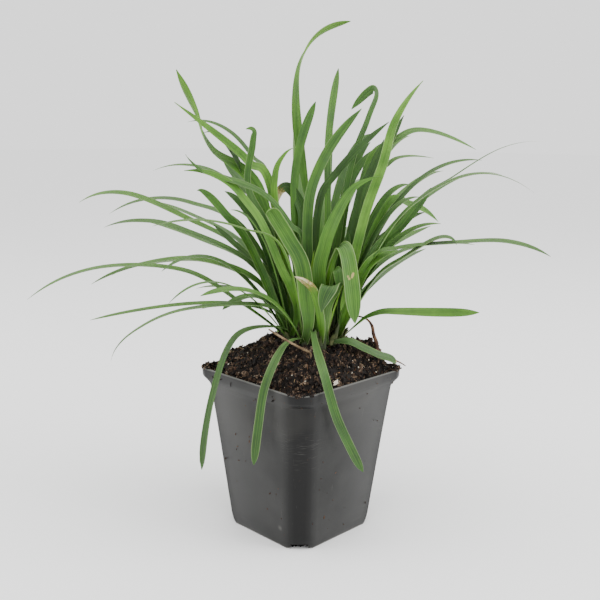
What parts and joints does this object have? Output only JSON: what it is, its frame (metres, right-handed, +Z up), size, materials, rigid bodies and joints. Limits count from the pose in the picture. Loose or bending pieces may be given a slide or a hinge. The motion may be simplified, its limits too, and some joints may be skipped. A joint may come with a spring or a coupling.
{
  "type": "potted liriope",
  "caption": "Tufted liriope with long narrow arching leaves, growing in a small square black nursery pot heaped with soil.",
  "frame": {"origin": "centre of the flat underside of the pot's base, on the surface that the pot stands on", "axes": "+Z up along the pot's axis; the pot's four sides face +X, -X, +Y and -Y; the plant's front is towards the corner between +X and -Y"},
  "size_m": [0.3065, 0.296, 0.2983],
  "materials": {
    "pot": "satin moulded black plastic, scuffed and dusty",
    "soil": "loose peaty potting soil",
    "leaf": "smooth leathery green leaf with fine lengthwise veins",
    "dead_stem": "dry, dull"
  },
  "bodies": {
    "root": {"pot": "pot", "soil": "soil", "heart_right": "leaf", "heart_left": "leaf", "heart_front": "leaf", "fan_right": "leaf", "fan_right_back": "leaf", "fan_back": "leaf", "fan_left_back": "leaf", "fan_left": "leaf", "fan_left_front": "leaf", "fan_front_left": "leaf", "fan_front_right": "leaf", "fan_right_front": "leaf", "dry_stalk": "dead_stem", "dead_stalk": "dead_stem"}
  },
  "joints": []
}
